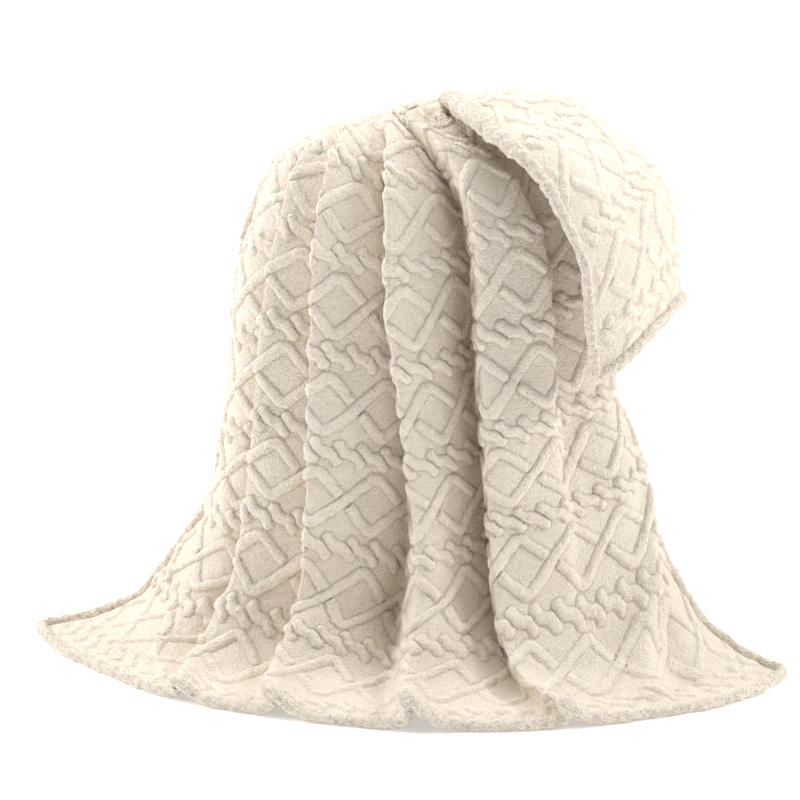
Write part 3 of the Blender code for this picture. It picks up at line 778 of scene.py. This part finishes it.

# RAISED and SHADED_GROUND are a lit and a shaded copy of one cream: the darker ground is painted shade between
# the raised parts, as are the darker grounds of the hem and the sherpa. DEEP_TONE_AND_PAINTED_SHADE gives random
# darker clumps and also the painted shade in creases and folds.
RAISED, SHADED_GROUND, DEEP_TONE_AND_PAINTED_SHADE = (0.91, 0.82, 0.71, 1), (0.87, 0.78, 0.665, 1), (0.46, 0.37, 0.26, 1)
SHADED_HEM_GROUND = (0.78, 0.69, 0.57, 1)
SHERPA_RAISED, SHADED_SHERPA_GROUND = (0.84, 0.755, 0.645, 1), (0.70, 0.61, 0.49, 1)
plush_material = plush("carved_plush_pile", RAISED, SHADED_GROUND, DEEP_TONE_AND_PAINTED_SHADE, "raised", "crease", "hollow")
# The hem and the sherpa are painted darker where their curls sink, as shade
hem_material = plush("hem_plush_pile", RAISED, SHADED_HEM_GROUND, DEEP_TONE_AND_PAINTED_SHADE, "nub", pile=1.4)
sherpa_material = plush("sherpa_pile", SHERPA_RAISED, SHADED_SHERPA_GROUND, DEEP_TONE_AND_PAINTED_SHADE, "raised", pile=1.6)

# The face carries the masks that paint shade into its creases and onto the floors of its folds
face = cloth_sheet(
    "throw_face", u, v, points, normals, FACE_OFFSET, bumps, raised=raised, crease=crease, hollow=hollow,
)
face.data.materials.append(plush_material)

coarse = slice(None, None, 2)
cu, cv = u[coarse], v[coarse]
curls = 0.5 + 0.5 * value_noise(uu[coarse, coarse], vv[coarse, coarse], 0.009, SEED + 9)
backing = cloth_sheet(
    "throw_backing", cu, cv, points[coarse, coarse], normals[coarse, coarse],
    BACKING_OFFSET, SHERPA_CURL * curls, flip=True, raised=curls,
)
backing.data.materials.append(sherpa_material)

# The hem is rolled up fuller where the flap comes over the top, and slimmer further down its border
FULLER, FULLER_FROM_V, FULLER_TO_V = 0.70, (0.97, 1.03), (1.34, 1.12)
SLIMMER, SLIMMER_FROM_V = 0.12, (1.15, 1.30)
right_fullness = 1 + FULLER * smoothstep(*FULLER_FROM_V, v) * smoothstep(*FULLER_TO_V, v)
right_fullness = right_fullness - SLIMMER * smoothstep(*SLIMMER_FROM_V, v)
hems = [
    hem_tube("hem_front", points[0], points[4], normals[0], 21),
    hem_tube("hem_rear", points[-1], points[-5], normals[-1], 31),
    hem_tube("hem_left", points[:, 0], points[:, 4], normals[:, 0], 41),
    hem_tube("hem_right", points[:, -1], points[:, -5], normals[:, -1], 51, right_fullness),
]
for hem in hems:
    hem.data.materials.append(hem_material)

# The blank label on the reverse, a thin plate that curls a little
LABEL_U, LABEL_V = (0.050, 0.085), (0.300, 0.355)
LABEL_MIDDLE, LABEL_HALF_WIDTH = 0.0675, 0.0175
LABEL_NEAR, LABEL_FAR = 0.0064, 0.0074  # how far its two sides lie behind the sheet's middle
lu, lv = np.meshgrid(np.linspace(*LABEL_U, 15), np.linspace(*LABEL_V, 23))
at = bilinear(points, lv / v[1], lu / u[1])
outwards = unit(bilinear(normals, lv / v[1], lu / u[1]))
curl = 0.0008 * np.cos((lu - LABEL_MIDDLE) / LABEL_HALF_WIDTH * np.pi) + 0.0005 * np.sin(lv * 190)
inner = (at - (LABEL_NEAR + curl)[..., None] * outwards).reshape(-1, 3)
outer = (at - (LABEL_FAR + curl)[..., None] * outwards).reshape(-1, 3)
count = len(inner)
rim = np.arange(count).reshape(lu.shape)
ring = np.concatenate([rim[0, :], rim[1:, -1], rim[-1, -2::-1], rim[-2:0:-1, 0]])
side = np.stack([ring, np.roll(ring, -1), np.roll(ring, -1) + count, ring + count], -1)
label = mesh_object(
    "label_tape_blank", np.concatenate([inner, outer]),
    np.concatenate([grid_faces(*lu.shape), grid_faces(*lu.shape, flip=True) + count, side[:, ::-1]]),
)
label.data.materials.append(tape("label_satin_tape"))

for piece, node, slot in (
    (face, "face_cloth", "carved_plush"),
    (backing, "backing_cloth", "sherpa_backing"),
    (hems[0], "front_hem", "hem_plush"),
    (hems[1], "rear_hem", "hem_plush"),
    (hems[2], "left_hem", "hem_plush"),
    (hems[3], "right_hem", "hem_plush"),
    (label, "care_label", "label_tape"),
):
    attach(piece, "root")
    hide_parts(node)

# ---------------------------------------------------------------- floor, light and camera
FLOOR_HALF = 16
corners = [(-1, -1, 0), (1, -1, 0), (1, 1, 0), (-1, 1, 0)]
floor = mesh_object("floor", FLOOR_HALF * np.array(corners, float), np.array([(0, 1, 2, 3)]))
floor.data.materials.append(plain("pale_floor", (0.90, 0.90, 0.90, 1), 0.9, 0.30))

scene = bpy.context.scene
world = bpy.data.worlds.new("studio")
scene.world = world
world.use_nodes = True
nodes, links = world.node_tree.nodes, world.node_tree.links
background = nodes["Background"]
background.inputs["Color"].default_value = (1.0, 1.0, 1.0, 1.0)
# The studio is dim on the front's side and bright behind, so that the relief is lit from the sides and above
direction = nodes.new("ShaderNodeTexCoord")
split = nodes.new("ShaderNodeSeparateXYZ")
links.new(direction.outputs["Generated"], split.inputs[0])
fade_in = nodes.new("ShaderNodeMapRange")
fade_in.interpolation_type = "SMOOTHSTEP"
links.new(split.outputs["Y"], fade_in.inputs["Value"])
for key, number in (("From Min", -0.90), ("From Max", 0.15), ("To Min", 0.13), ("To Max", 1.0)):
    fade_in.inputs[key].default_value = number
links.new(fade_in.outputs["Result"], background.inputs["Strength"])


def area_light(name, position, target, size, energy):
    data = bpy.data.lights.new(name, "AREA")
    data.shape, data.size, data.energy = "DISK", size, energy
    lamp = bpy.data.objects.new(name, data)
    lamp.location = position
    lamp.rotation_euler = (Vector(target) - Vector(position)).to_track_quat("-Z", "Y").to_euler()
    scene.collection.objects.link(lamp)


LIGHTS_AIM = (0, 0, 0.35)
area_light("left_box", (-3.0, 0.15, 1.7), LIGHTS_AIM, 1.5, 47.0)
area_light("right_box", (2.8, -0.55, 2.1), LIGHTS_AIM, 1.4, 46.0)
area_light("top_box", (-0.2, 0.2, 3.0), LIGHTS_AIM, 2.0, 35.0)

SENSOR_WIDTH, LENS = 36.0, 134.3
CAMERA_AIM, CAMERA_DISTANCE, CAMERA_TILT = Vector((-0.0045, 0.0131, 0.355)), 4.0, np.radians(14.0)
camera_data = bpy.data.cameras.new("camera")
camera_data.sensor_width = SENSOR_WIDTH
camera_data.lens = LENS
camera = bpy.data.objects.new("camera", camera_data)
away = Vector((0.0, -np.cos(CAMERA_TILT), np.sin(CAMERA_TILT)))
camera.location = CAMERA_AIM + CAMERA_DISTANCE * away
camera.rotation_euler = (CAMERA_AIM - camera.location).to_track_quat("-Z", "Y").to_euler()
scene.collection.objects.link(camera)
scene.camera = camera
scene.view_settings.view_transform = "Standard"
